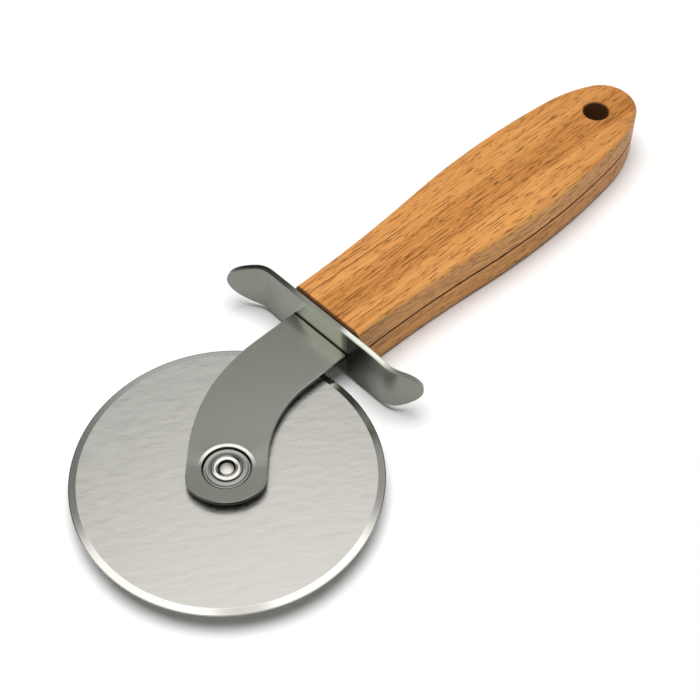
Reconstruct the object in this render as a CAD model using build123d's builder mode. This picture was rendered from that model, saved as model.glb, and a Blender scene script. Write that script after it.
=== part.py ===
from build123d import *
from math import cos, radians, sin, tan
import os

# A pizza cutter lying flat: a wheel riveted under a cranked arm, an S-bent guard and a wooden handle.
# X runs along the handle, with the wheel towards -X. The axle sits off to the -Y side.
# Z is up from the surface the handle lies on, and the origin is the middle of the handle's underside.
# Millimetres.

os.makedirs("parts", exist_ok=True)

# Wheel: a thin disc with a double-ground edge
wheel_diameter = 75.0
wheel_thickness = 1.0
bevel_width = 1.8
edge_land = 0.15

# Arm: one stamped sheet, cranked in its own plane, that runs on as the tang inside the handle
arm_sheet = 1.5
arm_width = 19.2
arm_edge_bevel = 0.2
arm_reach = 43.7            # from the axle to the guard, along the handle
axle_offset = 14.2          # from the handle's middle line to the axle
crank_angle = 44.3
crank_radius = 37.5         # on the arm's middle line
arm_end_reach = 9.7         # from the axle to the arm's rounded end
arm_end_crown = 5.2
arm_end_corner = 5.5
tang_width = 12.0
tang_length = 78.0          # from the guard's front face
tang_tip_radius = 5.0

# Dimple: pressed down round the axle, so that its underside carries the wheel
dimple_diameter = 12.0
dimple_depth = 0.9
dimple_draft = 0.3          # how much narrower the dimple's floor is, all round
boss_diameter = 12.6
boss_edge = 0.3

# Rivet: a half-hollow rivet, its head under the wheel and its end rolled over on top
shank_diameter = 5.2
rivet_head_diameter = 9.6
rivet_head_height = 1.3
rivet_head_bevel = 0.5
roll_diameter = 6.8
roll_mouth_diameter = 4.0
roll_height = 0.65
roll_bevel = 0.35           # the rolled lip's corners, outside and at its mouth
rivet_hole_depth = 1.4      # from the top of the roll
rivet_floor_rise = 0.5      # the hole's floor bulges up by this much
rivet_floor_flat_share = 0.45  # of the mouth, the bulge's flat top

# Washers
washer_diameter = 11.2
washer_corner = 0.12
clinch_washer_thickness = 0.5
bearing_washer_thickness = 0.3
head_washer_thickness = 0.5

# Guard: a strip of sheet, bent forward on one side and back on the other
guard_sheet = 1.5
guard_height = 15.4
guard_rise = 0.5            # its middle line above the tang's middle plane
front_wing_start = 19.3     # from the middle to the bend of the wing that leans to the wheel
front_wing_radius = 8.0     # on the strip's middle surface
front_wing_angle = 32.0
front_wing_tip = 7.8        # flat part after the bend
rear_wing_start = 22.0      # and the same for the wing that leans back along the handle
rear_wing_radius = 6.3
rear_wing_angle = 42.5
rear_wing_tip = 5.5
guard_end_length = 14.6     # of the half ellipse that each wing ends in
guard_edge_bevel = 0.2
slot_corner = 0.4

# Handle: two halves glued face to face round the tang
handle_length = 115.7
handle_thickness = 16.5
handle_front_width = 22.6
handle_neck_width = 26.6    # where the neck's hollow turns into the belly's swell
handle_shoulder_width = 25.0
handle_end_radius = 9.2
handle_end_angle = 62.6     # the end's arc, each side of the middle line
neck_place_share = 0.379    # from the front, along the handle
shoulder_place_share = 0.838
handle_edge_radius = 1.6
handle_front_edge = 0.4
joint_groove_height = 0.6
joint_groove_depth = 1.0
hanging_hole_diameter = 7.0
hanging_hole_setback = 12.6  # from the handle's far end
hanging_hole_edge = 0.4

# Blind pins that lock the tang between the halves
pin_diameter = 4.0
pin_length = 10.0
front_pin_place = 24.0      # from the guard's front face
rear_pin_setback = 16.0     # from the tang's tip
pin_end_chamfer = 0.4

# Fits
running_clearance = 0.05    # wheel bore on the rivet's shank, on the radius
axial_clearance = 0.05      # each side of the wheel
fixed_clearance = 0.05      # between pieces that don't move on each other
pocket_clearance = 0.1      # round the tang, in the halves and in the guard's slot
guard_gap = 0.4             # between the guard and the wood
cut_overrun = 1.0

# Places along the handle
handle_front_x = -handle_length / 2
guard_rear_x = handle_front_x - guard_gap
guard_front_x = guard_rear_x - guard_sheet
axle_x = guard_front_x - arm_reach
axle_y = -axle_offset
hanging_hole_x = handle_length / 2 - hanging_hole_setback
tang_tip_x = guard_front_x + tang_length
front_pin_x = guard_front_x + front_pin_place
rear_pin_x = tang_tip_x - rear_pin_setback

# Heights
tang_middle_z = handle_thickness / 2
arm_top_z = tang_middle_z + arm_sheet / 2
arm_bottom_z = arm_top_z - arm_sheet
dimple_floor_z = arm_top_z - dimple_depth
boss_face_z = arm_bottom_z - dimple_depth
bearing_washer_bottom_z = boss_face_z - bearing_washer_thickness
wheel_top_z = bearing_washer_bottom_z - axial_clearance
wheel_bottom_z = wheel_top_z - wheel_thickness
wheel_middle_z = wheel_top_z - wheel_thickness / 2
head_washer_top_z = wheel_bottom_z - axial_clearance
head_washer_bottom_z = head_washer_top_z - head_washer_thickness
rivet_head_bottom_z = head_washer_bottom_z - rivet_head_height
clinch_washer_top_z = dimple_floor_z + clinch_washer_thickness
roll_top_z = clinch_washer_top_z + roll_height

# The axle's line, and a plane through it to draw the round pieces on
axle_line = Axis((axle_x, axle_y, 0), (0, 0, 1))
axle_plane = Plane(origin=(axle_x, axle_y, 0), x_dir=(1, 0, 0), z_dir=(0, -1, 0))


def washer(bottom_z, thickness, label):
    """A flat punched washer round the axle, with its upper outer corner eased."""
    with BuildPart() as ring:
        with BuildSketch(Plane(origin=(axle_x, axle_y, bottom_z))):
            Circle(washer_diameter / 2)
            Circle(shank_diameter / 2 + fixed_clearance, mode=Mode.SUBTRACT)
        extrude(amount=thickness)
        outer_edges = ring.edges().filter_by(GeomType.CIRCLE).sort_by(SortBy.RADIUS)[-2:]
        chamfer(outer_edges.sort_by(Axis.Z)[-1], length=washer_corner)
    ring.part.label = label
    export_step(ring.part, f"parts/{label}.step")


# Wheel blade
with BuildPart() as wheel_blade:
    with BuildSketch(axle_plane):
        bore_radius = shank_diameter / 2 + running_clearance
        rim_radius = wheel_diameter / 2
        with BuildLine():
            Polyline(
                (bore_radius, wheel_bottom_z),
                (rim_radius - bevel_width, wheel_bottom_z),
                (rim_radius, wheel_middle_z - edge_land / 2),
                (rim_radius, wheel_middle_z + edge_land / 2),
                (rim_radius - bevel_width, wheel_top_z),
                (bore_radius, wheel_top_z),
                close=True,
            )
        make_face()
    revolve(axis=axle_line)
wheel_blade.part.label = "wheel_blade"
export_step(wheel_blade.part, "parts/wheel_blade.step")

# Arm and tang: the outline is a band with one elbow, which narrows to the tang at the guard
arm_half = arm_width / 2
tang_half = tang_width / 2
crank = radians(crank_angle)
elbow_x = axle_x + axle_offset / tan(crank)
elbow_spread = arm_half * tan(crank / 2)
along = Vector(-cos(crank), -sin(crank))
across = Vector(-sin(crank), cos(crank))
axle_point = Vector(axle_x, axle_y)
end_apex = axle_point + along * arm_end_reach
end_left = axle_point + along * (arm_end_reach - arm_end_crown) + across * arm_half
end_right = axle_point + along * (arm_end_reach - arm_end_crown) - across * arm_half
outer_elbow = Vector(elbow_x - elbow_spread, arm_half)
inner_elbow = Vector(elbow_x + elbow_spread, -arm_half)

with BuildPart() as arm_and_tang:
    with BuildSketch(Plane.XY.offset(arm_bottom_z)) as arm_outline:
        with BuildLine():
            ThreePointArc(end_right, end_apex, end_left)
            Polyline(
                end_left,
                outer_elbow,
                (guard_front_x, arm_half),
                (guard_front_x, tang_half),
                (tang_tip_x, tang_half),
                (tang_tip_x, -tang_half),
                (guard_front_x, -tang_half),
                (guard_front_x, -arm_half),
                inner_elbow,
                end_right,
            )
        make_face()
        for corner, radius in (
            (outer_elbow, crank_radius + arm_half),
            (inner_elbow, crank_radius - arm_half),
            (end_left, arm_end_corner),
            (end_right, arm_end_corner),
        ):
            fillet(arm_outline.vertices().sort_by_distance(corner)[0], radius=radius)
        fillet(arm_outline.vertices().group_by(Axis.X)[-1], radius=tang_tip_radius)
    extrude(amount=arm_sheet)
    rim_edges = arm_and_tang.edges().filter_by(Plane.XY).filter_by(
        lambda edge: edge.center().X < guard_front_x - arm_edge_bevel
    )
    chamfer(rim_edges, length=arm_edge_bevel)
    with BuildSketch(axle_plane):
        with BuildLine():
            Polyline(
                (0, arm_bottom_z + arm_sheet / 2),
                (boss_diameter / 2, arm_bottom_z + arm_sheet / 2),
                (boss_diameter / 2, boss_face_z + boss_edge),
                (boss_diameter / 2 - boss_edge, boss_face_z),
                (0, boss_face_z),
                close=True,
            )
        make_face()
    revolve(axis=axle_line)
    with BuildSketch(axle_plane):
        with BuildLine():
            Polyline(
                (0, dimple_floor_z),
                (dimple_diameter / 2 - dimple_draft, dimple_floor_z),
                (dimple_diameter / 2, arm_top_z),
                (dimple_diameter / 2, arm_top_z + cut_overrun),
                (0, arm_top_z + cut_overrun),
                close=True,
            )
        make_face()
    revolve(axis=axle_line, mode=Mode.SUBTRACT)
    with Locations((axle_x, axle_y, dimple_floor_z)):
        Hole(shank_diameter / 2 + fixed_clearance)
    with Locations((front_pin_x, 0, arm_top_z), (rear_pin_x, 0, arm_top_z)):
        Hole(pin_diameter / 2 + fixed_clearance)
arm_and_tang.part.label = "arm_and_tang"
export_step(arm_and_tang.part, "parts/arm_and_tang.step")

# Guard: a strip in two wings, each cut to a half ellipse at its end, with the slot for the tang
guard_middle_z = tang_middle_z + guard_rise
guard_bottom_z = guard_middle_z - guard_height / 2
guard_middle_x = guard_front_x + guard_sheet / 2


def wing_tip(start, radius, angle, tip, side):
    """Where a wing ends on the strip's middle surface, for side 1 towards +Y and -1 towards -Y."""
    bend = radians(angle)
    run = radius * (1 - cos(bend)) + tip * sin(bend)
    span = start + radius * sin(bend) + tip * cos(bend)
    return Vector(guard_middle_x - side * run, side * span, guard_middle_z)


with BuildPart() as guard:
    for start, radius, angle, tip, side in (
        (front_wing_start, front_wing_radius, front_wing_angle, front_wing_tip, 1),
        (rear_wing_start, rear_wing_radius, rear_wing_angle, rear_wing_tip, -1),
    ):
        half_sheet = side * guard_sheet / 2
        with BuildSketch(Plane.XY.offset(guard_bottom_z)):
            with BuildLine():
                rear = Line((guard_rear_x, 0), (guard_rear_x, side * start))
                front = Line((guard_front_x, 0), (guard_front_x, side * start))
                rear_bend = JernArc(rear @ 1, rear % 1, radius + half_sheet, angle)
                front_bend = JernArc(front @ 1, front % 1, radius - half_sheet, angle)
                rear_end = rear_bend @ 1 + (rear_bend % 1) * (tip + cut_overrun)
                front_end = front_bend @ 1 + (front_bend % 1) * (tip + cut_overrun)
                Polyline(rear_bend @ 1, rear_end, front_end, front_bend @ 1)
                Line(front @ 0, rear @ 0)
            make_face()
        extrude(amount=guard_height)
        end_point = wing_tip(start, radius, angle, tip, side)
        lean = radians(angle)
        outward = Vector(-side * sin(lean), side * cos(lean), 0)
        facing = Vector(cos(lean), sin(lean), 0)
        with BuildSketch(Plane(origin=end_point, x_dir=outward, z_dir=facing)):
            with Locations((-guard_end_length, 0)):
                Rectangle(
                    guard_end_length + 2 * cut_overrun,
                    guard_height + 2 * cut_overrun,
                    align=(Align.MIN, Align.CENTER),
                )
                Ellipse(guard_end_length, guard_height / 2, mode=Mode.SUBTRACT)
        extrude(amount=guard_end_length, both=True, mode=Mode.SUBTRACT)
    outline_edges = guard.edges().filter_by(Axis.Z, reverse=True)
    chamfer(
        outline_edges.filter_by(lambda edge: edge.length > guard_sheet + fixed_clearance),
        length=guard_edge_bevel,
    )
    with BuildSketch(Plane.YZ.offset(guard_front_x)):
        with Locations((0, tang_middle_z)):
            RectangleRounded(
                tang_width + 2 * pocket_clearance, arm_sheet + 2 * pocket_clearance, slot_corner
            )
    extrude(amount=guard_sheet, mode=Mode.SUBTRACT)
guard.part.label = "guard"
export_step(guard.part, "parts/guard.step")

# Axle rivet: head, shank and rolled end in one profile
shank_radius = shank_diameter / 2
head_radius = rivet_head_diameter / 2
roll_radius = roll_diameter / 2
mouth_radius = roll_mouth_diameter / 2
hole_floor_z = roll_top_z - rivet_hole_depth

with BuildPart() as axle_rivet:
    with BuildSketch(axle_plane):
        with BuildLine():
            Polyline(
                (0, hole_floor_z + rivet_floor_rise),
                (mouth_radius * rivet_floor_flat_share, hole_floor_z + rivet_floor_rise),
                (mouth_radius, hole_floor_z),
                (mouth_radius, roll_top_z - roll_bevel),
                (mouth_radius + roll_bevel, roll_top_z),
                (roll_radius - roll_bevel, roll_top_z),
                (roll_radius, roll_top_z - roll_bevel),
                (roll_radius, clinch_washer_top_z),
                (shank_radius, clinch_washer_top_z),
                (shank_radius, head_washer_bottom_z),
                (head_radius, head_washer_bottom_z),
                (head_radius, rivet_head_bottom_z + rivet_head_bevel),
                (head_radius - rivet_head_bevel, rivet_head_bottom_z),
                (0, rivet_head_bottom_z),
                close=True,
            )
        make_face()
    revolve(axis=axle_line)
axle_rivet.part.label = "axle_rivet"
export_step(axle_rivet.part, "parts/axle_rivet.step")

# Washers: under the rolled end, between the dimple and the wheel, and over the rivet's head
washer(dimple_floor_z, clinch_washer_thickness, "clinch_washer")
washer(bearing_washer_bottom_z, bearing_washer_thickness, "bearing_washer")
washer(head_washer_bottom_z, head_washer_thickness, "head_washer")


# Handle outline: a round end, then tangent arcs forward over the shoulder, belly and neck
def handle_outline(inset):
    """The handle's outline in plan, drawn this far inside its real edge."""
    front_corner = (handle_front_x + inset, handle_front_width / 2 - inset)
    neck_point = (handle_front_x + handle_length * neck_place_share, handle_neck_width / 2 - inset)
    shoulder_x = handle_front_x + handle_length * shoulder_place_share
    shoulder_point = (shoulder_x, handle_shoulder_width / 2 - inset)
    end_centre = (handle_front_x + handle_length - handle_end_radius, 0)
    with BuildSketch() as outline:
        with BuildLine():
            end_arc = CenterArc(end_centre, handle_end_radius - inset, 0, handle_end_angle)
            shoulder = TangentArc(end_arc @ 1, shoulder_point, tangent=end_arc % 1)
            belly = TangentArc(shoulder @ 1, neck_point, tangent=shoulder % 1)
            neck = TangentArc(belly @ 1, front_corner, tangent=belly % 1)
            Polyline(neck @ 1, (handle_front_x + inset, 0))
            mirror(about=Plane.XZ)
        make_face()
    return outline.sketch


handle_plan = handle_outline(0)
joint_plan = handle_outline(joint_groove_depth)


def handle_half(side, label):
    """One half of the handle, above the tang's middle for side 1 and below it for side -1."""
    land = joint_groove_height / 2
    with BuildPart() as half:
        with BuildSketch(Plane.XY.offset(tang_middle_z + side * land)):
            add(handle_plan)
        extrude(amount=side * (handle_thickness / 2 - land))
        outer_face = half.faces().filter_by(Axis.Z).sort_by(Axis.Z)[-1 if side > 0 else 0]
        front_edge = outer_face.edges().sort_by(Axis.X)[0]
        fillet(outer_face.edges() - [front_edge], radius=handle_edge_radius)
        front_face = half.faces().sort_by(Axis.X)[0]
        joint_edge = front_face.edges().sort_by(Axis.Z)[0 if side > 0 else -1]
        chamfer(front_face.edges() - [joint_edge], length=handle_front_edge)
        with BuildSketch(Plane.XY.offset(tang_middle_z)):
            add(joint_plan)
        extrude(amount=side * land)
        with BuildSketch(Plane.XY.offset(tang_middle_z)):
            with Locations((tang_tip_x + pocket_clearance, 0)):
                Rectangle(
                    tang_length + pocket_clearance,
                    tang_width + 2 * pocket_clearance,
                    align=(Align.MAX, Align.CENTER),
                )
        extrude(amount=side * (arm_sheet / 2 + fixed_clearance), mode=Mode.SUBTRACT)
        with BuildSketch(Plane.XY.offset(tang_middle_z)):
            with Locations((front_pin_x, 0), (rear_pin_x, 0)):
                Circle(pin_diameter / 2 + fixed_clearance)
        extrude(amount=side * (pin_length / 2 + fixed_clearance), mode=Mode.SUBTRACT)
        with Locations((hanging_hole_x, 0, tang_middle_z)):
            Hole(hanging_hole_diameter / 2)
        mouth = half.edges().filter_by(GeomType.CIRCLE).group_by(Axis.Z)[-1 if side > 0 else 0]
        chamfer(mouth, length=hanging_hole_edge)
    half.part.label = label
    export_step(half.part, f"parts/{label}.step")


handle_half(1, "upper_handle_half")
handle_half(-1, "lower_handle_half")


def tang_pin(place_x, label):
    """A blind pin through the tang, with both ends eased."""
    with BuildPart() as pin:
        with BuildSketch(Plane(origin=(place_x, 0, tang_middle_z - pin_length / 2))):
            Circle(pin_diameter / 2)
        extrude(amount=pin_length)
        chamfer(pin.edges().filter_by(GeomType.CIRCLE), length=pin_end_chamfer)
    pin.part.label = label
    export_step(pin.part, f"parts/{label}.step")


tang_pin(front_pin_x, "front_tang_pin")
tang_pin(rear_pin_x, "rear_tang_pin")
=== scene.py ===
import math

import bpy
from mathutils import Matrix, Vector


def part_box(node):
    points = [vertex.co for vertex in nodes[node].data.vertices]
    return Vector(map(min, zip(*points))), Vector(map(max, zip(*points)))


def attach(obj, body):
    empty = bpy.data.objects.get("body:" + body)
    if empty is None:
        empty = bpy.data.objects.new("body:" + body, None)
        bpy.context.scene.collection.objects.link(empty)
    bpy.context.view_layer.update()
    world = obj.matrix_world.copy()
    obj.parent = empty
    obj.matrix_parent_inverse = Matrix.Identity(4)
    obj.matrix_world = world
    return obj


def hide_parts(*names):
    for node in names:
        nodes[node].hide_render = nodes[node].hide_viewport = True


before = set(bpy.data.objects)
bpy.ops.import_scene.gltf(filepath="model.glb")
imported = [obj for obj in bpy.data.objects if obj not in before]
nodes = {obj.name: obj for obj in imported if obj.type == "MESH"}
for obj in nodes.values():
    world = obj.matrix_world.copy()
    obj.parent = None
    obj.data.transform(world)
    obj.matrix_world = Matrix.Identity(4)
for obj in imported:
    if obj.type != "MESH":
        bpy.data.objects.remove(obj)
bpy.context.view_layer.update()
MM_PER_METRE = 1000.0


def box_mm(name):
    """A node's low and high corner in millimetres."""
    return [corner * MM_PER_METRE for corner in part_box(name)]


# Places read from the model, in millimetres
wheel_low, wheel_high = box_mm("wheel_blade")
axle = (wheel_low + wheel_high) / 2
rim_radius = (wheel_high.x - wheel_low.x) / 2
wood_low, wood_high = box_mm("upper_handle_half")
joint_height = wood_low.z

# Sizes of the source that no box gives, in millimetres, and the places that follow from them
sheet = 1.5
guard_gap = 0.4
bevel_width = 1.8
hole_setback = 12.6
shank_radius, head_radius = 2.6, 4.8
guard_front = wood_low.x - guard_gap - sheet
arm_top = joint_height + sheet / 2
bevel_start = rim_radius - bevel_width
hanging_hole = Vector((wood_high.x - hole_setback, 0.0, 0.0))

# Camera: a close, high three-quarter view from the wheel's side
camera_place = Vector((-0.2240, -0.1805, 0.31105))
looking = Vector((0.43088, 0.44549, -0.78478)).normalized()
photo_pixels = 700.0
focal_pixels = 1545.75
sensor = 36.0

camera_data = bpy.data.cameras.new("camera")
camera_data.sensor_width = sensor
camera_data.lens = sensor * focal_pixels / photo_pixels
camera_data.clip_start = 0.01
camera = bpy.data.objects.new("camera", camera_data)
bpy.context.scene.collection.objects.link(camera)
rightward = looking.cross(Vector((0, 0, 1))).normalized()
upward = rightward.cross(looking)
turn = Matrix((rightward, upward, -looking)).transposed().to_4x4()
camera.matrix_world = Matrix.Translation(camera_place) @ turn
bpy.context.scene.camera = camera


# Helpers for node trees
def fill(tree, node, inputs):
    """Set a node's inputs, each to a value or to another node's output socket."""
    for name, value in inputs.items():
        if isinstance(value, bpy.types.NodeSocket):
            tree.links.new(value, node.inputs[name])
        else:
            node.inputs[name].default_value = value


def add(tree, kind, inputs=None, **settings):
    """Add a shader node with its settings and inputs."""
    made = tree.nodes.new(kind)
    for name, value in settings.items():
        setattr(made, name, value)
    fill(tree, made, inputs or {})
    return made


def maths(tree, operation, first, *others):
    """Arithmetic on one value or socket, or carried through a row of them."""
    for other in others or (0.0,):
        step = add(tree, "ShaderNodeMath", {0: first, 1: other}, operation=operation)
        first = step.outputs[0]
    return first


def rest(tree, value):
    """What a value leaves of 1."""
    return maths(tree, "SUBTRACT", 1.0, value)


def from_middle(tree, value):
    """Carry a noise of 0 to 1 to -0.5 to 0.5."""
    return maths(tree, "SUBTRACT", value, 0.5)


def vector_maths(tree, operation, first, second=(0, 0, 0)):
    made = add(tree, "ShaderNodeVectorMath", {0: first, 1: second}, operation=operation)
    return made.outputs["Value" if operation in ("LENGTH", "DISTANCE", "DOT_PRODUCT") else "Vector"]


def stretched(tree, vector, scales):
    return vector_maths(tree, "MULTIPLY", vector, scales)


def rotated(tree, vector, angle):
    """Turn a vector about Z."""
    return add(tree, "ShaderNodeMapping", {"Vector": vector, "Rotation": (0, 0, angle)}).outputs[0]


def split(tree, vector):
    """A vector's X, Y and Z."""
    return add(tree, "ShaderNodeSeparateXYZ", {0: vector}).outputs


def joined(tree, x=0.0, y=0.0, z=0.0):
    return add(tree, "ShaderNodeCombineXYZ", {0: x, 1: y, 2: z}).outputs[0]


def span(tree, value, low, high, to_low=0.0, to_high=1.0, smooth=True):
    """Carry a value from one range to another, held at both ends; the named ranges are its numbers."""
    inputs = {"Value": value, "From Min": low, "From Max": high, "To Min": to_low, "To Max": to_high}
    kind = "SMOOTHSTEP" if smooth else "LINEAR"
    return add(tree, "ShaderNodeMapRange", inputs, interpolation_type=kind).outputs["Result"]


def noise(tree, vector, detail, roughness=0.5, scale=1.0):
    inputs = {"Vector": vector, "Scale": scale, "Detail": detail, "Roughness": roughness}
    return add(tree, "ShaderNodeTexNoise", inputs).outputs["Fac"]


def mix(tree, amount, first, second):
    """Mix two values."""
    return add(tree, "ShaderNodeMix", {0: amount, 2: first, 3: second}).outputs[0]


def blend(tree, amount, first, second, way="MIX"):
    """Mix two colours."""
    inputs = {0: amount, 6: first, 7: second}
    return add(tree, "ShaderNodeMix", inputs, data_type="RGBA", blend_type=way).outputs[2]


def millimetres(tree):
    """The piece's own coordinates in millimetres."""
    place = add(tree, "ShaderNodeTexCoord").outputs["Object"]
    return stretched(tree, place, (MM_PER_METRE, MM_PER_METRE, MM_PER_METRE))


def about_axle(tree, place):
    """The way from the axle: as a vector, as its parts, laid flat, and as a radius."""
    offset = vector_maths(tree, "SUBTRACT", place, tuple(axle))
    parts = split(tree, offset)
    flat = joined(tree, parts[0], parts[1])
    return offset, parts, flat, vector_maths(tree, "LENGTH", flat)


def upwardness(tree, normal):
    """How far the surface faces up: 1 for a top face, 0 for a wall and -1 for an underside."""
    facing = add(tree, "ShaderNodeNewGeometry").outputs[normal]
    return vector_maths(tree, "DOT_PRODUCT", facing, (0, 0, 1))


def effect(name, inputs, outputs):
    """Start a node group; its sockets are rows of a name, a kind and, for some inputs, a default."""
    tree = bpy.data.node_groups.new(name, "ShaderNodeTree")
    for way, sockets in (("INPUT", inputs), ("OUTPUT", outputs)):
        for label, kind, *default in sockets:
            socket = tree.interface.new_socket(name=label, in_out=way, socket_type=kind)
            if default:
                socket.default_value = default[0]
    return tree, tree.nodes.new("NodeGroupInput").outputs, tree.nodes.new("NodeGroupOutput").inputs


def use(tree, group, inputs):
    """Place a node group and give back its outputs."""
    return add(tree, "ShaderNodeGroup", inputs, node_tree=group).outputs


FLOAT, COLOUR, VECTOR = "NodeSocketFloat", "NodeSocketColor", "NodeSocketVector"


# Shared effects; lengths are in millimetres
def make_brushing():
    """Fine parallel marks along the vector's X, with cloudy patches where they are deeper."""
    tree, given, out = effect(
        "brushing",
        [("Vector", VECTOR), ("Fineness", FLOAT, 6.0), ("Length", FLOAT, 14.0),
         ("Mottling", FLOAT, 0.5)],
        [("Marks", FLOAT), ("Cloud", FLOAT)],
    )
    cloud_scales = (0.16, 0.3, 0.3)
    detail, roughness = 3.0, 0.6
    per_length = maths(tree, "DIVIDE", 1.0, given["Length"])
    scales = joined(tree, per_length, given["Fineness"], given["Fineness"])
    lines = noise(tree, stretched(tree, given["Vector"], scales), detail, roughness)
    cloud = noise(tree, stretched(tree, given["Vector"], cloud_scales), detail, roughness)
    patch = maths(tree, "MULTIPLY", from_middle(tree, cloud), given["Mottling"])
    tree.links.new(maths(tree, "ADD", lines, patch), out["Marks"])
    tree.links.new(cloud, out["Cloud"])
    return tree


def make_scuffs():
    """Sparse hair scratches in two directions and tiny specks, from 0 to 1."""
    tree, given, out = effect(
        "scuffs",
        [("Vector", VECTOR), ("Amount", FLOAT, 0.5)],
        [("Scratches", FLOAT), ("Specks", FLOAT)],
    )
    directions_and_levels = ((0.6, 0.68), (2.2, 0.7))
    hair_scales, hair_roughness, hair_edge = (0.12, 4.0, 4.0), 0.4, 0.06
    speck_scale, speck_levels = 3.5, (0.7, 0.76)
    scratches = 0.0
    for direction, level in directions_and_levels:
        turned = rotated(tree, given["Vector"], direction)
        hair = noise(tree, stretched(tree, turned, hair_scales), 1.0, hair_roughness)
        scratches = maths(tree, "ADD", scratches, span(tree, hair, level, level + hair_edge))
    specks = span(tree, noise(tree, given["Vector"], 1.0, scale=speck_scale), *speck_levels)
    tree.links.new(maths(tree, "MULTIPLY", scratches, given["Amount"]), out["Scratches"])
    tree.links.new(maths(tree, "MULTIPLY", specks, given["Amount"]), out["Specks"])
    return tree


def make_wood_grain():
    """Open-pored hardwood with its grain along the vector's X; depth deepens its tone."""
    tree, given, out = effect(
        "wood_grain",
        [("Vector", VECTOR), ("Depth", FLOAT, 0.0), ("Pale", COLOUR), ("Deep", COLOUR),
         ("Pore", COLOUR)],
        [("Colour", COLOUR), ("Roughness", FLOAT), ("Height", FLOAT)],
    )
    # The grain wanders to either side
    drift_scales, drift_reach = (0.01, 0.04, 0.04), 5.0
    drift = noise(tree, stretched(tree, given["Vector"], drift_scales), 1.0)
    sway = maths(tree, "MULTIPLY", from_middle(tree, drift), drift_reach)
    grain = vector_maths(tree, "ADD", given["Vector"], joined(tree, 0.0, sway, sway))

    # Figure: broad bands, streaks and fine streaks, each with its scales, detail and share of the tone
    figure = (
        ((0.007, 0.4, 0.4), 1.0, 1.0),
        ((0.02, 1.5, 1.5), 3.0, 1.3),
        ((0.08, 6.0, 6.0), 2.0, 1.6),
    )
    resting_tone, figure_roughness = 0.4, 0.6
    tone = maths(tree, "ADD", given["Depth"], resting_tone)
    for scales, detail, share in figure:
        layer = noise(tree, stretched(tree, grain, scales), detail, figure_roughness)
        tone = maths(tree, "ADD", tone, maths(tree, "MULTIPLY", from_middle(tree, layer), share))
    board = blend(tree, span(tree, tone, 0.0, 1.0, smooth=False), given["Pale"], given["Deep"])

    # Pores: dashes of two sizes, each with its scales and level, crowded where the wood is deeper
    pore_kinds = (((0.13, 2.9, 2.9), 0.63), ((0.3, 3.4, 3.4), 0.62))
    pore_roughness, pore_edge, pore_darkness = 0.4, 0.07, 0.72
    crowding_range = (0.1, 0.8, -0.02, 0.03)
    crowding = span(tree, tone, *crowding_range, smooth=False)
    pores = 0.0
    for scales, level in pore_kinds:
        dashes = noise(tree, stretched(tree, grain, scales), 1.0, pore_roughness)
        dashes = maths(tree, "ADD", dashes, crowding)
        pores = maths(tree, "MAXIMUM", pores, span(tree, dashes, level, level + pore_edge))
    colour = blend(tree, maths(tree, "MULTIPLY", pores, pore_darkness), board, given["Pore"])
    tree.links.new(colour, out["Colour"])

    # The wood is dull, more so in the small pores and round them, and the deeper tones lie lower
    oiled_rough, dash_rough, pore_rough, tone_fall = 0.4, 0.2, 0.25, -0.1
    round_pores = maths(tree, "MULTIPLY", dashes, dash_rough)
    in_pores = maths(tree, "MULTIPLY", pores, pore_rough)
    tree.links.new(maths(tree, "ADD", round_pores, in_pores, oiled_rough), out["Roughness"])
    raised = maths(tree, "SUBTRACT", maths(tree, "MULTIPLY", tone, tone_fall), pores)
    tree.links.new(raised, out["Height"])
    return tree


brushing = make_brushing()
scuffs = make_scuffs()
wood_grain = make_wood_grain()


def new_material(name, **plain):
    """A material with its Principled shader; plain values are set on the shader's own sockets."""
    material = bpy.data.materials.new(name)
    material.use_nodes = True
    shader = material.node_tree.nodes["Principled BSDF"]
    for key, value in plain.items():
        shader.inputs[key.replace("_", " ")].default_value = value
    return material, material.node_tree, shader


def set_bump(tree, shader, height, depth):
    """Drive the shader's normal from a height, of which 1 stands for this depth in metres."""
    bump = add(tree, "ShaderNodeBump", {"Height": height, "Distance": depth})
    tree.links.new(bump.outputs["Normal"], shader.inputs["Normal"])


def by_marks(tree, marks, low=0.0, high=1.0):
    """Carry the usual range of brush marks to a range of tone or roughness."""
    faintest, deepest = 0.2, 0.8
    return span(tree, marks, faintest, deepest, low, high, smooth=False)


warm_tint = (1.02, 1.0, 0.925)
olive_tint = (0.96, 1.0, 0.86)


def steel_grey(value, tint=warm_tint):
    return (value * tint[0], value * tint[1], value * tint[2], 1.0)


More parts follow.
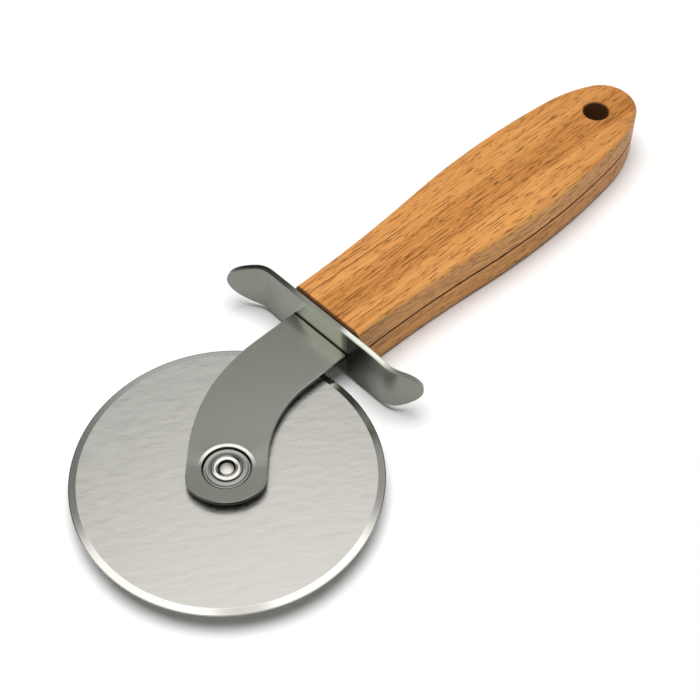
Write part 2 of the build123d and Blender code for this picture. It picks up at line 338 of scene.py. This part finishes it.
def wheel_steel():
    """Straight-brushed disc faces, and a ground bevel whose marks run round the rim."""
    material, tree, shader = new_material("wheel_steel", Metallic=1.0)
    parts, flat, radius = about_axle(tree, millimetres(tree))[1:]
    bevel_blur = 0.05
    bevel = span(tree, radius, bevel_start - bevel_blur, bevel_start + bevel_blur)

    brush_turn, marks_round = 0.6, 10.0
    turned = rotated(tree, flat, brush_turn)
    face = use(tree, brushing, {"Vector": turned, "Fineness": 1.6, "Length": 3.5, "Mottling": 1.2})
    angle = maths(tree, "ARCTAN2", parts[1], parts[0])
    around = joined(tree, maths(tree, "MULTIPLY", angle, marks_round), radius)
    ground = use(tree, brushing, {"Vector": around, "Fineness": 9.0, "Length": 3.0, "Mottling": 0.1})
    wear = use(tree, scuffs, {"Vector": flat, "Amount": 0.5})
    marks = mix(tree, bevel, face["Marks"], ground["Marks"])

    # Tones: the face by its marks, the bevel, the specks and the dark cutting edge
    face_low, face_high, bevel_tone = 0.59, 0.67, 0.86
    speck_tone, speck_strength = 0.4, 0.08
    edge_tone, edge_start, edge_full = 0.33, 0.32, 0.12
    colour = blend(tree, by_marks(tree, marks), steel_grey(face_low), steel_grey(face_high))
    colour = blend(tree, bevel, colour, steel_grey(bevel_tone))
    specks = maths(tree, "MULTIPLY", wear["Specks"], speck_strength)
    colour = blend(tree, specks, colour, steel_grey(speck_tone))
    edge = span(tree, radius, rim_radius - edge_start, rim_radius - edge_full)
    colour = blend(tree, edge, colour, steel_grey(edge_tone))

    face_rough, bevel_polish, scratch_rough = (0.25, 0.35), -0.16, 0.05
    polish = maths(tree, "MULTIPLY", bevel, bevel_polish)
    scratches = maths(tree, "MULTIPLY", wear["Scratches"], scratch_rough)
    rough = maths(tree, "ADD", by_marks(tree, marks, *face_rough), polish, scratches)
    fill(tree, shader, {"Base Color": colour, "Roughness": rough})

    # The face is softly dappled, with the brush marks far finer than the dapple
    dapple_scales, marks_share, dapple_depth = (0.2, 0.48, 0.48), 0.03, 0.00004
    dapple = noise(tree, stretched(tree, turned, dapple_scales), 3.0)
    dapple = maths(tree, "MULTIPLY", dapple, rest(tree, bevel))
    height = maths(tree, "ADD", maths(tree, "MULTIPLY", marks, marks_share), dapple)
    set_bump(tree, shader, height, dapple_depth)
    return material


def guard_finish(tree, place):
    """Tone and height: a painted reflection of the arm above it, painted shade beside it, and a top edge
    with a painted highlight, sloped as if rounded to the front.
    """
    parts = split(tree, place)
    height = maths(tree, "SUBTRACT", parts[2], arm_top)
    arm_side = (9.3, 9.9, 1.0, 0.0)
    inside = span(tree, maths(tree, "ABSOLUTE", parts[1]), *arm_side)

    # A painted reflection of the arm: the bright band above it; its left end leans as the arm's mirror
    # image does
    band_strength, band_lean, arm_blur = 3.1, 0.57, 0.1
    band_left, band_right = (10.5, 6.5), (-8.9, -6.7)
    above = span(tree, parts[2], arm_top - arm_blur, arm_top + arm_blur)
    mirrored = maths(tree, "ADD", parts[1], maths(tree, "MULTIPLY", height, band_lean))
    ends = maths(tree, "MULTIPLY", span(tree, mirrored, *band_left), span(tree, parts[1], *band_right))
    painted_arm_reflection = maths(tree, "MULTIPLY", inside, ends, above, band_strength)

    # Painted shade at the root of the right wing, and a painted shadow along the seam where the arm
    # passes through
    root_shade_strength, root_shade_right, root_shade_left = 0.76, (-22.5, -14.5), (-9.2, -9.8)
    root_shade_ends = span(tree, parts[1], *root_shade_right), span(tree, parts[1], *root_shade_left)
    darkening = maths(tree, "MULTIPLY", *root_shade_ends, root_shade_strength)
    seam_shadow_reach = (0.12, 0.3, 0.9, 0.0)
    seam_shadow = maths(tree, "MULTIPLY", span(tree, maths(tree, "ABSOLUTE", height), *seam_shadow_reach), inside)
    tone = maths(tree, "ADD", painted_arm_reflection, 1.0)
    tone = maths(tree, "MULTIPLY", tone, rest(tree, darkening), rest(tree, seam_shadow))

    # The top edge: a painted highlight, brightest just right of the arm, whose tone falls to both wing
    # tips, and it slopes as if rounded to the front
    edge_left, edge_middle = (14.0, 6.0, 0.3, 1.25), (-6.0, -9.5, 0.0, 2.6)
    edge_right = (-26.0, -21.0, 0.4, 1.0)
    edge_slope, faces_up = 0.0001, (0.5, 0.8)
    edge = span(tree, upwardness(tree, "True Normal"), *faces_up)
    edge_tone = maths(tree, "ADD", span(tree, parts[1], *edge_left), span(tree, parts[1], *edge_middle))
    edge_tone = maths(tree, "MULTIPLY", edge_tone, span(tree, parts[1], *edge_right))
    slope = maths(tree, "MULTIPLY", maths(tree, "SUBTRACT", parts[0], guard_front), edge_slope)
    return mix(tree, edge, tone, edge_tone), maths(tree, "MULTIPLY", slope, edge)


def arm_finish(tree, place):
    """Tone and height: painted shade toward the rounded end, a painted shadow at the seam with the
    guard, and a painted glint and the dimple's shoulder on its far side.
    """
    offset, _, flat, radius = about_axle(tree, place)
    # Painted shade: the arm darkens toward its rounded end
    outward_way, end_range = (-0.716, -0.698, 0), (-14.0, 8.0, 1.0, 0.7)
    end_tone = span(tree, vector_maths(tree, "DOT_PRODUCT", offset, outward_way), *end_range)
    # A painted shadow along the seam where the arm meets the guard
    seam_shadow_range = (0.55, 0.3, 0.0, 0.92)
    from_guard = maths(tree, "SUBTRACT", guard_front, split(tree, place)[0])
    seam_shadow = span(tree, from_guard, *seam_shadow_range)

    # A painted glint and the shoulder show on the dimple's far side only; the shoulder's height is in
    # metres
    far_way, far_range = (0.71, 0.71, 0), (0.0, 0.7)
    glint_range, glint_strength = (7.0, 6.7), 1.6
    shoulder_range = (5.8, 6.9, 0.0, 0.00022)
    facing = vector_maths(tree, "DOT_PRODUCT", vector_maths(tree, "NORMALIZE", flat), far_way)
    far = span(tree, facing, *far_range)
    glint = maths(tree, "MULTIPLY", span(tree, radius, *glint_range), far, glint_strength)
    tone = maths(tree, "MULTIPLY", maths(tree, "ADD", end_tone, glint), rest(tree, seam_shadow))
    return tone, maths(tree, "MULTIPLY", span(tree, radius, *shoulder_range), far)


def sheet_steel(name, tone, rough, finish, brush_turn=0.0, highlight_and_shade_tones=()):
    """Satin stamped sheet; highlight and shade tones, if given, are a painted highlight on the eased
    corners and painted shade on the sheared walls.
    """
    material, tree, shader = new_material(name, Metallic=1.0)
    place = millimetres(tree)
    turned = rotated(tree, place, brush_turn)
    face = use(tree, brushing, {"Vector": turned, "Fineness": 7.0, "Length": 16.0, "Mottling": 0.3})
    wear = use(tree, scuffs, {"Vector": turned, "Amount": 0.6})

    marks_change, speck_share, speck_strength = 0.05, 0.6, 0.2
    darker = steel_grey(tone * (1 - marks_change), olive_tint)
    paler = steel_grey(tone * (1 + marks_change), olive_tint)
    colour = blend(tree, by_marks(tree, face["Marks"]), darker, paler)
    specks = maths(tree, "MULTIPLY", wear["Specks"], speck_strength)
    colour = blend(tree, specks, colour, steel_grey(tone * speck_share, olive_tint))
    if highlight_and_shade_tones:
        # Painted highlight on the eased corners and painted shade on the sheared walls
        flatness = maths(tree, "ABSOLUTE", upwardness(tree, "True Normal"))
        corner_range, wall_range = (0.8, 0.95, 1.0, 0.0), (0.3, 0.6, 1.0, 0.0)
        for tilt_range, corner_tone in zip((corner_range, wall_range), highlight_and_shade_tones):
            colour = blend(tree, span(tree, flatness, *tilt_range), colour, steel_grey(corner_tone))

    rough_change, scratch_rough = 0.05, 0.07
    roughness = by_marks(tree, face["Marks"], rough - rough_change, rough + rough_change)
    roughness = maths(tree, "ADD", roughness, maths(tree, "MULTIPLY", wear["Scratches"], scratch_rough))
    change, form = finish(tree, place)
    fill(tree, shader, {"Base Color": stretched(tree, colour, change), "Roughness": roughness})

    # The finish gives its height in metres, so the marks are brought to metres too
    scratch_share, marks_depth = 0.6, 0.000004
    scratches = maths(tree, "MULTIPLY", wear["Scratches"], scratch_share)
    marks = maths(tree, "SUBTRACT", face["Marks"], scratches)
    set_bump(tree, shader, maths(tree, "ADD", maths(tree, "MULTIPLY", marks, marks_depth), form), 1.0)
    return material


def turned_steel(name, tone, rough, shade_radius=0.0):
    """Bright steel with faint marks round the axle, and painted shade inside a radius if one is given.
    """
    material, tree, shader = new_material(name, Metallic=1.0)
    offset, parts, _, radius = about_axle(tree, millimetres(tree))
    around = joined(tree, maths(tree, "ARCTAN2", parts[1], parts[0]), radius, parts[2])
    rings = use(tree, brushing, {"Vector": around, "Fineness": 8.0, "Length": 1.5, "Mottling": 0.2})
    wear = use(tree, scuffs, {"Vector": offset, "Amount": 0.7})

    cloud_change, speck_share, speck_strength = 0.08, 0.5, 0.3
    darker, paler = steel_grey(tone * (1 - cloud_change)), steel_grey(tone * (1 + cloud_change))
    specks = maths(tree, "MULTIPLY", wear["Specks"], speck_strength)
    colour = blend(tree, rings["Cloud"], darker, paler)
    colour = blend(tree, specks, colour, steel_grey(tone * speck_share))
    if shade_radius:
        # Painted shade: a dark ring inside the radius, as under the rivet's rolled lip
        shade_tone, shade_strength, shade_blur = 0.02, 0.9, 0.6
        painted_shade_ring = span(tree, radius, shade_radius, shade_radius + shade_blur, shade_strength, 0.0)
        colour = blend(tree, painted_shade_ring, colour, steel_grey(shade_tone))

    smoother, rougher, marks_depth = 0.04, 0.06, 0.000004
    roughness = by_marks(tree, rings["Marks"], rough - smoother, rough + rougher)
    fill(tree, shader, {"Base Color": colour, "Roughness": roughness})
    set_bump(tree, shader, rings["Marks"], marks_depth)
    return material


def nylon():
    """Natural nylon: faintly mottled and waxy."""
    material, tree, shader = new_material("bearing_nylon", Specular_IOR_Level=0.45)
    darker, paler = (0.78, 0.76, 0.69, 1), (0.88, 0.86, 0.8, 1)
    cloud_scale, rough_range, grain_scale, grain_depth = 0.9, (0.3, 0.7, 0.42, 0.55), 6.0, 0.000008
    place = millimetres(tree)
    cloud = noise(tree, place, 3.0, scale=cloud_scale)
    colour = blend(tree, cloud, darker, paler)
    fill(tree, shader, {"Base Color": colour, "Roughness": span(tree, cloud, *rough_range)})
    set_bump(tree, shader, noise(tree, place, 2.0, scale=grain_scale), grain_depth)
    return material


def dark_band(tree, place):
    """Where the upper board's middle is deeper in tone, and the thin dark line beside it."""
    parts = split(tree, place)
    wander_scales, wander_reach = (0.03, 0.0, 0.0), 6.0
    band_left, band_right = (4.6, 1.8), (-7.2, -4.6)
    wander = from_middle(tree, noise(tree, stretched(tree, place, wander_scales), 1.0))
    side = maths(tree, "ADD", parts[1], maths(tree, "MULTIPLY", wander, wander_reach))
    middle = maths(tree, "MULTIPLY", span(tree, side, *band_left), span(tree, side, *band_right))

    # The line runs a little askew, fades toward the hole, and stays on the top
    line_place, line_slant, line_width = 5.6, 0.022, (0.1, 0.24, 1.0, 0.0)
    line_end, line_top = (-32.0, -6.0, 1.0, 0.0), (12.0, 14.0)
    askew = maths(tree, "ADD", parts[1], maths(tree, "MULTIPLY", parts[0], line_slant))
    away = maths(tree, "ABSOLUTE", maths(tree, "SUBTRACT", askew, line_place))
    line = maths(tree, "MULTIPLY", span(tree, away, *line_width), span(tree, parts[0], *line_end))
    return middle, maths(tree, "MULTIPLY", line, span(tree, parts[2], *line_top))


honey = (0.72, 0.33, 0.095, 1)
amber = (0.45, 0.166, 0.031, 1)
umber = (0.13, 0.036, 0.008, 1)


def handle_wood(name, shift, banded):
    """One board of the handle: grain along X, a darker joint, a darker hanging hole, painted shade on
    the front corner and painted light on the flanks.
    """
    material, tree, shader = new_material(name, Specular_IOR_Level=0.3)
    place = millimetres(tree)
    parts = split(tree, place)
    moved = vector_maths(tree, "ADD", place, shift)
    inputs = {"Vector": moved, "Pale": honey, "Deep": amber, "Pore": umber}
    if banded:
        band_deepens, board_pales = 0.42, 0.14
        middle, line = dark_band(tree, place)
        deeper = maths(tree, "MULTIPLY", middle, band_deepens)
        inputs["Depth"] = maths(tree, "SUBTRACT", deeper, board_pales)
    grain = use(tree, wood_grain, inputs)
    colour = grain["Colour"]
    if banded:
        line_strength, line_colour = 0.75, (0.12, 0.035, 0.01, 1)
        colour = blend(tree, maths(tree, "MULTIPLY", line, line_strength), colour, line_colour)

    # Deeper toward the far end, and painted light that makes the flanks paler
    end_range, end_colour = (10.0, 70.0, 0.0, 0.28), (0.3, 0.1, 0.02, 1)
    flank_range, flank_light_gain = (0.35, 0.8, 0.8, 0.0), (1.12, 1.2, 1.12, 1)
    colour = blend(tree, span(tree, parts[0], *end_range, smooth=False), colour, end_colour)
    flank_light_mask = span(tree, maths(tree, "ABSOLUTE", upwardness(tree, "Normal")), *flank_range)
    colour = blend(tree, flank_light_mask, colour, flank_light_gain, "MULTIPLY")

    # Painted shade on the front corner, and darker round the hanging hole and along the joint
    corner_range, dark_colour = (0.3, 0.9, 0.9, 0.0), (0.06, 0.022, 0.009, 1)
    hole_range, joint_range = (3.55, 3.9, 0.75, 0.0), (0.28, 0.45, 0.85, 0.0)
    from_front = maths(tree, "SUBTRACT", parts[0], wood_low.x)
    from_hole = vector_maths(tree, "DISTANCE", joined(tree, parts[0], parts[1]), tuple(hanging_hole))
    from_joint = maths(tree, "ABSOLUTE", maths(tree, "SUBTRACT", parts[2], joint_height))
    dark_marks = ((from_front, corner_range), (from_hole, hole_range), (from_joint, joint_range))
    darkening = maths(tree, "MAXIMUM", *(span(tree, distance, *reach) for distance, reach in dark_marks))
    colour = blend(tree, darkening, colour, dark_colour)

    fill(tree, shader, {"Base Color": colour, "Roughness": grain["Roughness"]})
    pore_depth = 0.00005
    set_bump(tree, shader, grain["Height"], pore_depth)
    return material


finishes = {
    "wheel_blade": wheel_steel(),
    "arm_and_tang": sheet_steel("arm_steel", 0.325, 0.26, arm_finish, highlight_and_shade_tones=(0.5, 0.05)),
    "guard": sheet_steel("guard_steel", 0.24, 0.3, guard_finish, brush_turn=math.pi / 2),
    "axle_rivet": turned_steel("rivet_steel", 0.78, 0.13),
    "clinch_washer": turned_steel("washer_steel", 0.36, 0.26, shade_radius=3.6),
    "head_washer": turned_steel("head_washer_steel", 0.5, 0.3),
    "bearing_washer": nylon(),
    "upper_handle_half": handle_wood("upper_board", shift=(0, 0, 0), banded=True),
    "lower_handle_half": handle_wood("lower_board", shift=(140, 37, 61), banded=False),
    "front_tang_pin": turned_steel("pin_steel", 0.5, 0.35),
    "rear_tang_pin": turned_steel("rear_pin_steel", 0.5, 0.35),
}
for name, material in finishes.items():
    nodes[name].data.materials.clear()
    nodes[name].data.materials.append(material)


# Turned pieces that stand for the rivet and its washer, with the rolled lip drawn in full
def arc(centre, across, rise, first, last, steps):
    """Points on an ellipse in the profile's plane, angles in degrees from straight outward."""
    points = []
    for step in range(steps + 1):
        angle = math.radians(first + (last - first) * step / steps)
        points.append((centre[0] + across * math.cos(angle), centre[1] + rise * math.sin(angle)))
    return points


def lathe(name, profile, finish, closed=False):
    """Turn a profile of (radius, height) in millimetres round the axle; a closed one is a ring."""
    turns, on_axis, sharp_angle = 96, 1e-6, math.radians(35)
    angles = [2 * math.pi * step / turns for step in range(turns)]
    places, rows, faces = [], [], []
    for radius, height in profile:
        first = len(places)
        if radius < on_axis:
            rows.append([first] * turns)
            places.append((axle.x, axle.y, height))
            continue
        rows.append(list(range(first, first + turns)))
        for angle in angles:
            places.append((axle.x + radius * math.cos(angle), axle.y + radius * math.sin(angle), height))
    pairs = list(zip(rows, rows[1:]))
    if closed:
        pairs.append((rows[-1], rows[0]))
    for first, second in pairs:
        for i in range(turns):
            j = (i + 1) % turns
            faces.append(list(dict.fromkeys((first[i], first[j], second[j], second[i]))))
    mesh = bpy.data.meshes.new(name)
    in_metres = [tuple(part / MM_PER_METRE for part in place) for place in places]
    mesh.from_pydata(in_metres, [], faces)
    mesh.polygons.foreach_set("use_smooth", [True] * len(faces))
    mesh.set_sharp_from_angle(angle=sharp_angle)
    mesh.materials.append(finish)
    piece = bpy.data.objects.new(name, mesh)
    bpy.context.scene.collection.objects.link(piece)
    return piece


def make_rivet():
    """Half-hollow rivet: its head below, and above the lip rolled over a domed well."""
    low, high = box_mm("axle_rivet")
    head_top = box_mm("head_washer")[0].z
    seat = box_mm("clinch_washer")[1].z
    base, top = low.z, high.z
    roll_radius, mouth_radius = 3.6, 2.15
    well_depth, moat_depth, moat_slope = 0.85, 0.4, 0.05
    dome_radius, dome_rise = 1.85, 0.6
    head_ease, head_round = 0.1, (0.5, 0.6)
    floor = top - well_depth

    # From the middle of the well outward over the lip, down the shank and round the head
    profile = arc((0.0, floor), dome_radius, dome_rise, 90, 0, steps=12)
    moat_floor = floor - moat_depth
    profile += [(dome_radius + moat_slope, moat_floor), (mouth_radius - moat_slope, moat_floor)]
    lip = ((roll_radius + mouth_radius) / 2, top - (top - seat) / 2)
    profile += arc(lip, (roll_radius - mouth_radius) / 2, (top - seat) / 2, 180, -90, steps=20)
    profile += [(shank_radius, seat), (shank_radius, head_top), (head_radius - head_ease, head_top)]
    rounded = (head_radius - head_round[0], base + head_round[1])
    profile += arc(rounded, *head_round, 0, -90, steps=6) + [(0.0, base)]
    piece = lathe("formed_rivet", profile[::-1], finishes["axle_rivet"])

    # The well's wall is painted dark as shade, and its dome is dull from the punch
    well, punched = 1, 2
    piece.data.materials.append(turned_steel("shaded_well_steel", 0.07, 0.5))
    piece.data.materials.append(turned_steel("punched_steel", 0.8, 0.42))
    wall_blur, bright_lip = 0.06, 0.2
    wall_reach, wall_top = mouth_radius + wall_blur, top - bright_lip
    for face in piece.data.polygons:
        centre = face.center * MM_PER_METRE
        reach = math.hypot(centre.x - axle.x, centre.y - axle.y)
        if dome_radius < reach < wall_reach and centre.z < wall_top:
            face.material_index = well
        elif reach < dome_radius and centre.z > seat:
            face.material_index = punched
    return piece


def make_washer():
    """Punched washer whose face is sunk in a shallow ring."""
    low, high = box_mm("clinch_washer")
    base, top = low.z, high.z
    outer = (high.x - low.x) / 2
    corner, clearance = 0.18, 0.05
    bore = shank_radius + clearance
    profile = [(bore, base), (outer, base)]
    profile += arc((outer - corner, top - corner), corner, corner, 0, 90, steps=5)

    # The sunk ring: two corners measured in from the rim, then two out from the axle
    rim_land, outer_foot, outer_depth = 0.38, 0.62, 0.1
    inner_foot, inner_depth, inner_land = 4.4, 0.08, 4.1
    profile += [(outer - rim_land, top), (outer - outer_foot, top - outer_depth)]
    profile += [(inner_foot, top - inner_depth), (inner_land, top), (bore, top)]
    return lathe("formed_washer", profile, finishes["clinch_washer"], closed=True)


turned_pieces = (
    (make_rivet(), "axle_rivet", "rivet_steel"),
    (make_washer(), "clinch_washer", "washer_steel"),
)
for piece, node, slot in turned_pieces:
    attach(piece, "cutter_frame")
    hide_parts(node)


# Stage: a white floor and sky, a soft key lamp from the far side, and a dome that only the metal mirrors
def stage_mesh(name, places, faces, material):
    """A mesh of the stage with its material."""
    mesh = bpy.data.meshes.new(name)
    mesh.from_pydata(places, [], faces)
    mesh.materials.append(material)
    made = bpy.data.objects.new(name, mesh)
    bpy.context.scene.collection.objects.link(made)
    return made


def seen_directly(tree):
    """1 for the camera's rays and for those that metal or glass pass on, and 0 for all others."""
    path = add(tree, "ShaderNodeLightPath").outputs
    kinds = ("Is Camera Ray", "Is Glossy Ray", "Is Transmission Ray")
    return maths(tree, "MAXIMUM", *(path[kind] for kind in kinds))


white = (1, 1, 1, 1)


def make_floor():
    """White paper just under the cutter, which glows with the distance so that it runs into the sky."""
    size, gap, paper = 3.0, 0.0001, (0.9, 0.9, 0.9, 1)
    glow_near, glow_far, glow_low, glow_high = 0.3, 0.8, 0.02, 1.0
    material, tree, shader = new_material("white_paper", Roughness=0.9, Specular_IOR_Level=0.1)
    distance = vector_maths(tree, "LENGTH", add(tree, "ShaderNodeTexCoord").outputs["Object"])
    glow = span(tree, distance, glow_near, glow_far, glow_low, glow_high)
    strength = maths(tree, "MULTIPLY", seen_directly(tree), glow)
    fill(tree, shader, {"Base Color": paper, "Emission Color": white, "Emission Strength": strength})
    corners = [(-size, -size, -gap), (size, -size, -gap), (size, size, -gap), (-size, size, -gap)]
    stage_mesh("floor", corners, [(0, 1, 2, 3)], material)


def make_sky(lighting):
    """A sky that looks white and lights the scene with a part of that."""
    world = bpy.data.worlds.new("sky")
    bpy.context.scene.world = world
    world.use_nodes = True
    tree = world.node_tree
    strength = maths(tree, "MULTIPLY", seen_directly(tree), 1.0 - lighting)
    strength = maths(tree, "ADD", lighting, strength)
    fill(tree, tree.nodes["Background"], {"Color": white, "Strength": strength})


def soft_light(name, place, target, width, power):
    """A round soft lamp; the metal sees the dome in its place."""
    data = bpy.data.lights.new(name, "AREA")
    data.shape = "DISK"
    data.size = width
    data.energy = power
    light = bpy.data.objects.new(name, data)
    bpy.context.scene.collection.objects.link(light)
    light.location = place
    light.rotation_mode = "QUATERNION"
    light.rotation_quaternion = (Vector(target) - Vector(place)).to_track_quat("-Z", "Y")
    light.visible_glossy = False


def studio_tone(tree):
    """The dome's brightness by direction: azimuths in degrees from +X, and degrees up from the floor."""
    toward = vector_maths(tree, "NORMALIZE", add(tree, "ShaderNodeTexCoord").outputs["Object"])
    parts = split(tree, toward)
    azimuth = maths(tree, "DEGREES", maths(tree, "ARCTAN2", parts[1], parts[0]))
    degrees_up = maths(tree, "DEGREES", maths(tree, "ARCSINE", parts[2]))

    # Grey wall behind the handle, with a nearly black part at its right that fades to the floor
    paler_part, darker_part = (40.0, 50.0, 0.31, 0.45), (66.0, 90.0, 0.0, -0.26)
    black_from, black_to, black_wall, black_lift = (17.0, 20.0), (50.0, 42.0), 0.01, 10.0
    foot, foot_tone = (20.0, 12.0), 0.6
    wall = maths(tree, "ADD", span(tree, azimuth, *paler_part), span(tree, azimuth, *darker_part))
    black = maths(tree, "MULTIPLY", span(tree, azimuth, *black_from), span(tree, azimuth, *black_to))
    wall = mix(tree, black, wall, black_wall)
    raised = maths(tree, "ADD", degrees_up, maths(tree, "MULTIPLY", black, black_lift))
    wall = mix(tree, span(tree, raised, *foot), wall, foot_tone)

    # Pale wall on the wheel's side
    pale_azimuth, pale_reach, pale_from, pale_wall = math.radians(170), (0.3, 0.5), (38.0, 46.0), 1.0
    pale_way = (math.cos(pale_azimuth), math.sin(pale_azimuth), 0)
    beside = vector_maths(tree, "DOT_PRODUCT", toward, pale_way)
    pale = maths(tree, "MULTIPLY", span(tree, beside, *pale_reach), span(tree, degrees_up, *pale_from))
    wall = mix(tree, pale, wall, pale_wall)

    # White roof, whose lower edge stands higher or lower with the azimuth
    roof_edge, white_roof = (49.0, 61.0), 1.35
    rise_left, rise_right = (50.0, 80.0, 0.0, 4.0), (10.0, 35.0, 6.0, 0.0)
    drop_left = (92.0, 102.0, 0.0, -5.5)
    shift = maths(tree, "ADD", span(tree, azimuth, *rise_left, smooth=False),
                  span(tree, azimuth, *rise_right), span(tree, azimuth, *drop_left))
    roof = span(tree, maths(tree, "SUBTRACT", degrees_up, shift), *roof_edge)
    tone = mix(tree, roof, wall, white_roof)

    # A plain gradient on the camera's side, and the dark arm of a lamp stand overhead
    near_front, near_left, near_gradient = (-0.15, -0.35), (112.0, 125.0), (0.0, 75.0, 0.4, 1.3)
    near = maths(tree, "MAXIMUM", span(tree, parts[1], *near_front), span(tree, azimuth, *near_left))
    tone = mix(tree, near, tone, span(tree, degrees_up, *near_gradient, smooth=False))
    boom_way, boom_reach = (-0.044, 0.03, 0.9986), (0.07, 0.125, 0.5, 1.0)
    from_boom = vector_maths(tree, "DISTANCE", toward, boom_way)
    return maths(tree, "MULTIPLY", tone, span(tree, from_boom, *boom_reach))


def make_dome(radius):
    """The studio that the metal mirrors; neither the camera nor the other light rays see it."""
    turns, rises = 72, 24
    places = []
    for rise in range(rises):
        height = math.pi / 2 * rise / rises
        reach, up = radius * math.cos(height), radius * math.sin(height)
        for step in range(turns):
            angle = 2 * math.pi * step / turns
            places.append((reach * math.cos(angle), reach * math.sin(angle), up))
    top, last = len(places), (rises - 1) * turns
    places.append((0.0, 0.0, radius))
    faces = []
    for low in range(0, last, turns):
        for i in range(turns):
            j = (i + 1) % turns
            faces.append((low + i, low + turns + i, low + turns + j, low + j))
    faces += [(last + i, top, last + (i + 1) % turns) for i in range(turns)]
    material, tree, shader = new_material("studio_walls", Roughness=1.0, Specular_IOR_Level=0.0)
    black = (0, 0, 0, 1)
    inputs = {"Base Color": black, "Emission Color": white, "Emission Strength": studio_tone(tree)}
    fill(tree, shader, inputs)
    dome = stage_mesh("dome", places, faces, material)
    dome.visible_camera = False
    dome.visible_diffuse = False
    dome.visible_shadow = False


make_floor()
make_sky(lighting=0.1)
make_dome(radius=1.4)
soft_light("key", place=(-0.02, 0.1, 1.5), target=(-0.04, 0, 0), width=1.2, power=27.0)

bpy.context.scene.view_settings.view_transform = "Standard"
